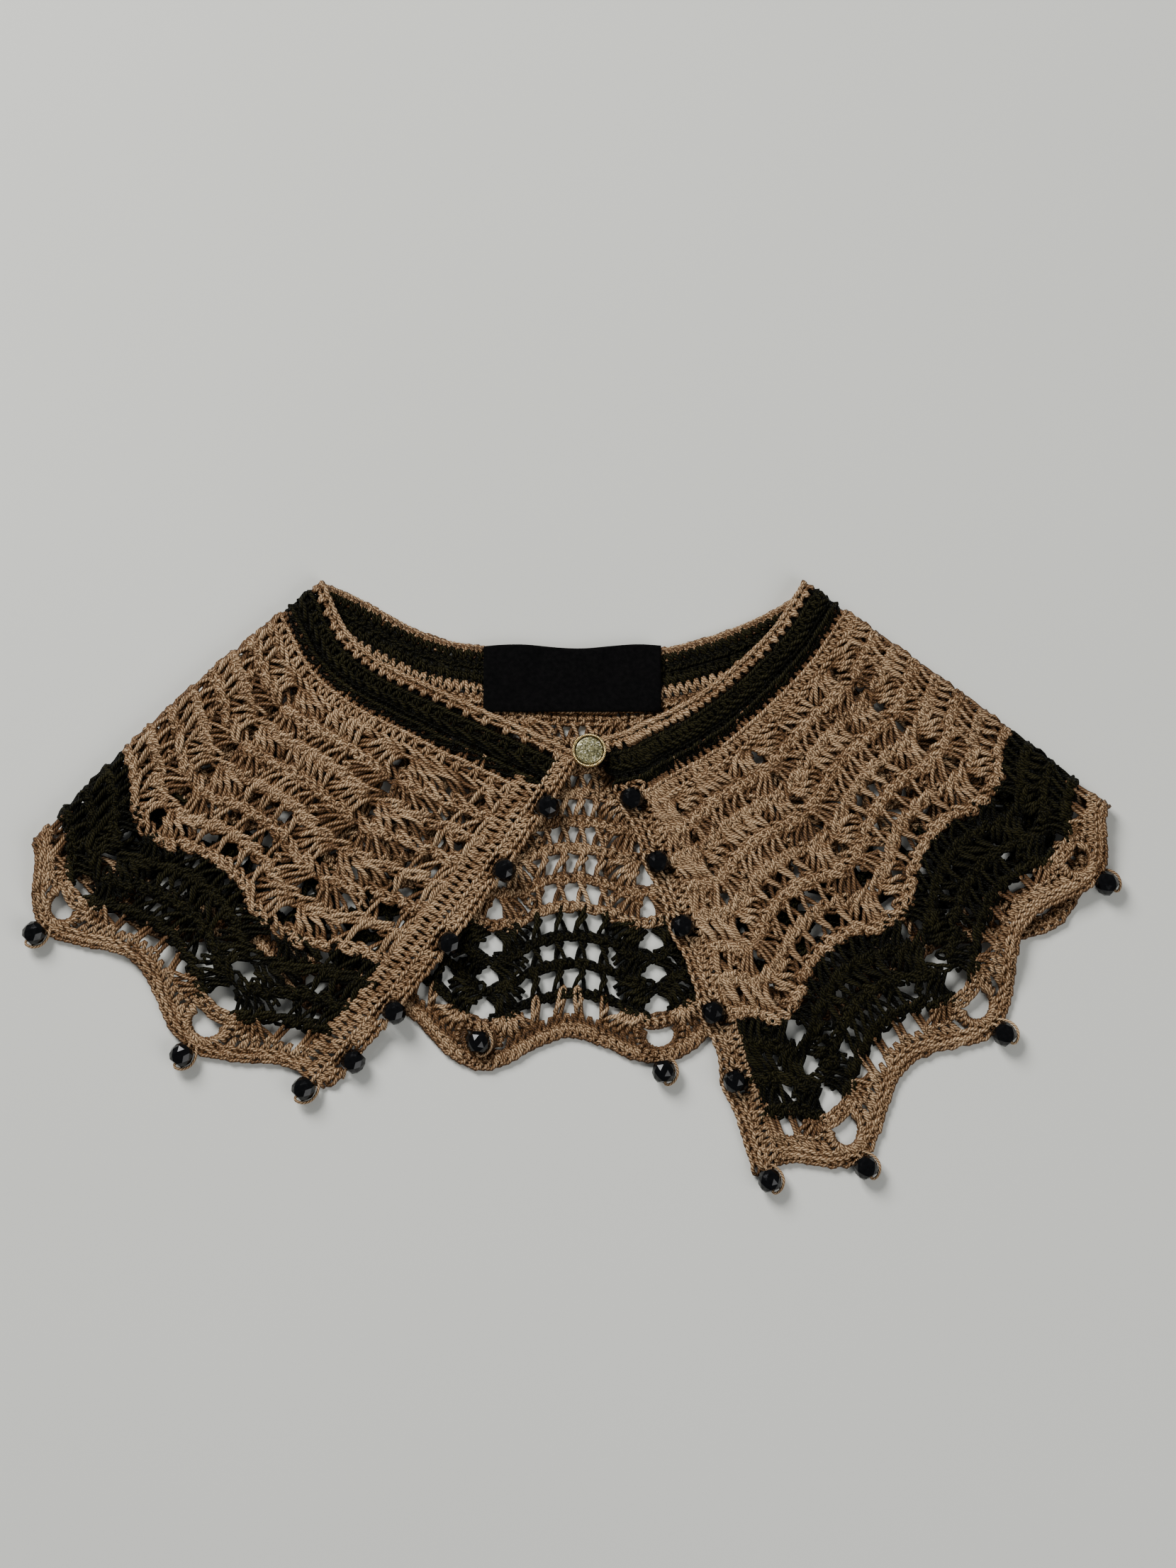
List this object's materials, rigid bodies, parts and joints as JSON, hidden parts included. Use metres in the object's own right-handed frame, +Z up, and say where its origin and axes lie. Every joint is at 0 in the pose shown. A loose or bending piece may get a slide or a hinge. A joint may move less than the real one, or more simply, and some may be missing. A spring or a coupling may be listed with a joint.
{
  "type": "crochet collar",
  "caption": "Two-colour crocheted cotton capelet collar with scalloped beaded edges, lying folded and closed by a round button at the front.",
  "frame": {"origin": "centre of the bounding box's underside, on the surface that the folded collar lies on", "axes": "+X to the right across the two shoulder folds, +Y from the front corners up to the neck, +Z up from the surface"},
  "size_m": [0.3664, 0.2074, 0.0107],
  "materials": {
    "beige_yarn": "matte",
    "green_yarn": "matte",
    "black_glass": "glossy",
    "gold_metal": "polished",
    "glitter_resin": "glossy",
    "label_cloth": "matte"
  },
  "bodies": {
    "root": {"neck_trim": "beige_yarn", "neck_band": "green_yarn", "body": "beige_yarn", "contrast_band": "green_yarn", "hem_edging": "beige_yarn", "front_edging_left": "beige_yarn", "front_edging_right": "beige_yarn", "label": "label_cloth", "button_cap": "gold_metal", "button_inlay": "glitter_resin", "bead_01": "black_glass", "bead_02": "black_glass", "bead_03": "black_glass", "bead_04": "black_glass", "bead_05": "black_glass", "bead_06": "black_glass", "bead_07": "black_glass", "bead_08": "black_glass", "bead_09": "black_glass", "bead_10": "black_glass", "bead_11": "black_glass", "bead_12": "black_glass", "bead_13": "black_glass", "bead_14": "black_glass", "bead_15": "black_glass", "bead_16": "black_glass", "bead_17": "black_glass", "bead_18": "black_glass", "bead_19": "black_glass"}
  },
  "joints": []
}
